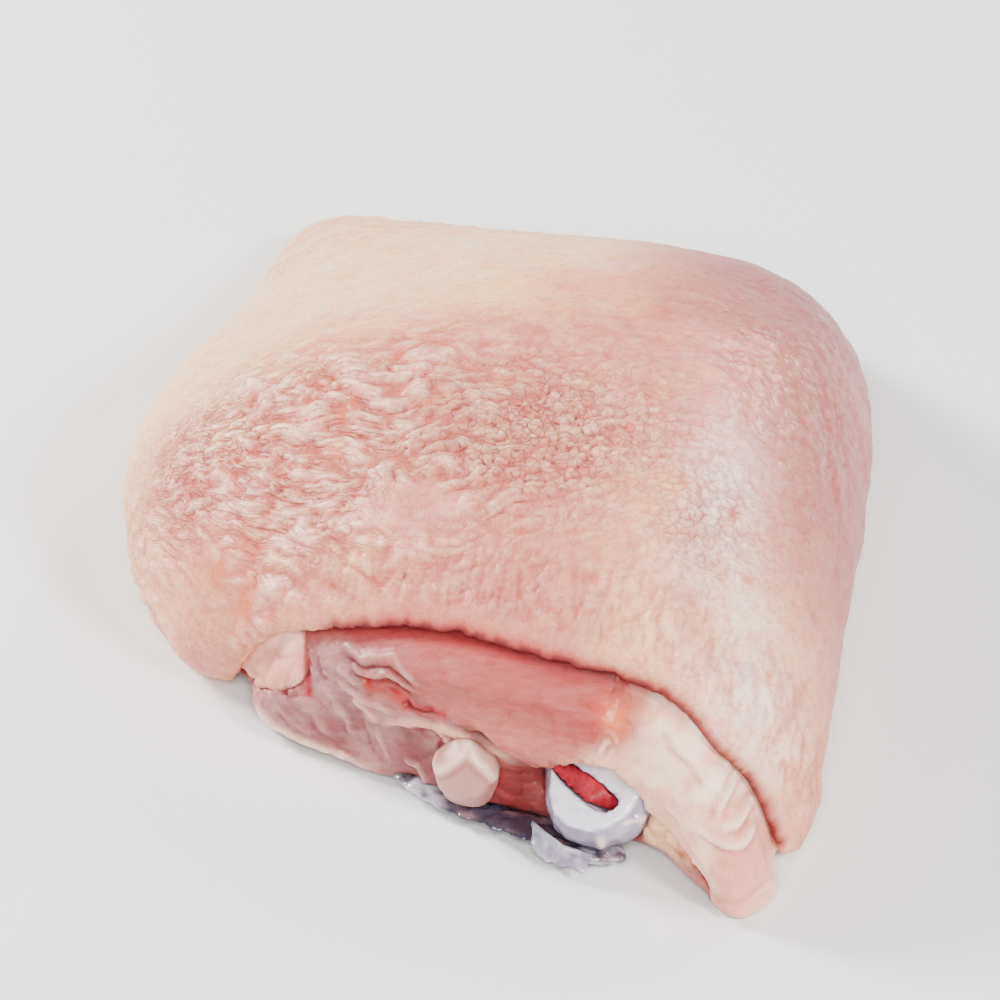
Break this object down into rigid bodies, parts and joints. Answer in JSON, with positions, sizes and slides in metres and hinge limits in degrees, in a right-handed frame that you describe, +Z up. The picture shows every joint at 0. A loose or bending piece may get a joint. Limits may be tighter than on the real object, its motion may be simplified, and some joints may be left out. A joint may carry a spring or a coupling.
{
  "type": "raw chicken thigh",
  "caption": "Raw bone-in, skin-on chicken thigh lying skin side up, its cut face showing meat, fat and the sawn bone end.",
  "frame": {"origin": "on the resting surface, under the middle of the thigh's bounding box", "axes": "+Z up; +Y from the cut face with the bone end to the rounded back, the longest way; +X to the right when the cut face is looked at"},
  "size_m": [0.1054, 0.1378, 0.0382],
  "materials": {
    "skin": "moist, wrinkled and pitted, soft gloss",
    "meat": "wet, smooth",
    "fat": "moist, waxy",
    "bone": "wet, glossy",
    "marrow": "wet, dark red",
    "sinew": "wet, bluish, glossy"
  },
  "bodies": {
    "root": {"skin": "skin", "meat": "meat", "fat_pad": "fat", "end_fat": "fat", "fat_lump": "fat", "bone": "bone", "marrow": "marrow", "sinew": "sinew"}
  },
  "joints": []
}
